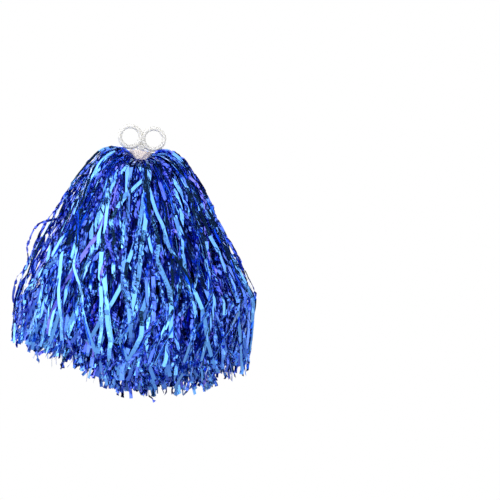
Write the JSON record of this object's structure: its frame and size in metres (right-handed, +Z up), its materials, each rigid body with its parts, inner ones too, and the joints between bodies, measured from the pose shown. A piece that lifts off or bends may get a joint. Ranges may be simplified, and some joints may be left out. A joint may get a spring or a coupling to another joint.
{
  "type": "cheer pom pom",
  "caption": "Cheerleading pom pom: metallic blue foil streamers tied and taped under a white twin-ring finger handle, hanging ready to shake.",
  "frame": {"origin": "midway between the centres of the two finger rings, where two fingers hold it", "axes": "+Z up, against the way the streamers hang; +X from the left ring to the right ring; +Y through the rings, from the front to the back"},
  "size_m": [0.2658, 0.2662, 0.2939],
  "materials": {
    "handle_plastic": "gloss",
    "tie_plastic": "satin",
    "clear_tape": "gloss",
    "blue_foil": "gloss"
  },
  "bodies": {
    "handle_and_core": {"finger_handle": "handle_plastic", "gathered_foil": "blue_foil", "binding_tie": "tie_plastic", "neck_tape": "clear_tape", "core_streamers": "blue_foil", "inner_streamers_right": "blue_foil", "inner_streamers_back_right": "blue_foil", "inner_streamers_back_left": "blue_foil", "inner_streamers_left": "blue_foil", "inner_streamers_front_left": "blue_foil", "inner_streamers_front_right": "blue_foil"},
    "back_right_fan": {"outer_streamers_back_right": "blue_foil"},
    "back_fan": {"outer_streamers_back": "blue_foil"},
    "back_left_fan": {"outer_streamers_back_left": "blue_foil"},
    "front_left_fan": {"outer_streamers_front_left": "blue_foil"},
    "front_fan": {"outer_streamers_front": "blue_foil"},
    "front_right_fan": {"outer_streamers_front_right": "blue_foil"}
  },
  "joints": [
    {"name": "back_right_swing", "type": "hinge", "parent": "handle_and_core", "child": "back_right_fan", "pos_m": [0.01212, 0.007, -0.024], "axis": [0.5, -0.866, 0], "range_deg": [0, 35]},
    {"name": "back_swing", "type": "hinge", "parent": "handle_and_core", "child": "back_fan", "pos_m": [0, 0.014, -0.024], "axis": [1, 0, 0], "range_deg": [0, 35]},
    {"name": "back_left_swing", "type": "hinge", "parent": "handle_and_core", "child": "back_left_fan", "pos_m": [-0.01212, 0.007, -0.024], "axis": [0.5, 0.866, 0], "range_deg": [0, 35]},
    {"name": "front_left_swing", "type": "hinge", "parent": "handle_and_core", "child": "front_left_fan", "pos_m": [-0.01212, -0.007, -0.024], "axis": [-0.5, 0.866, 0], "range_deg": [0, 35]},
    {"name": "front_swing", "type": "hinge", "parent": "handle_and_core", "child": "front_fan", "pos_m": [0, -0.014, -0.024], "axis": [-1, 0, 0], "range_deg": [0, 35]},
    {"name": "front_right_swing", "type": "hinge", "parent": "handle_and_core", "child": "front_right_fan", "pos_m": [0.01212, -0.007, -0.024], "axis": [-0.5, -0.866, 0], "range_deg": [0, 35]}
  ]
}
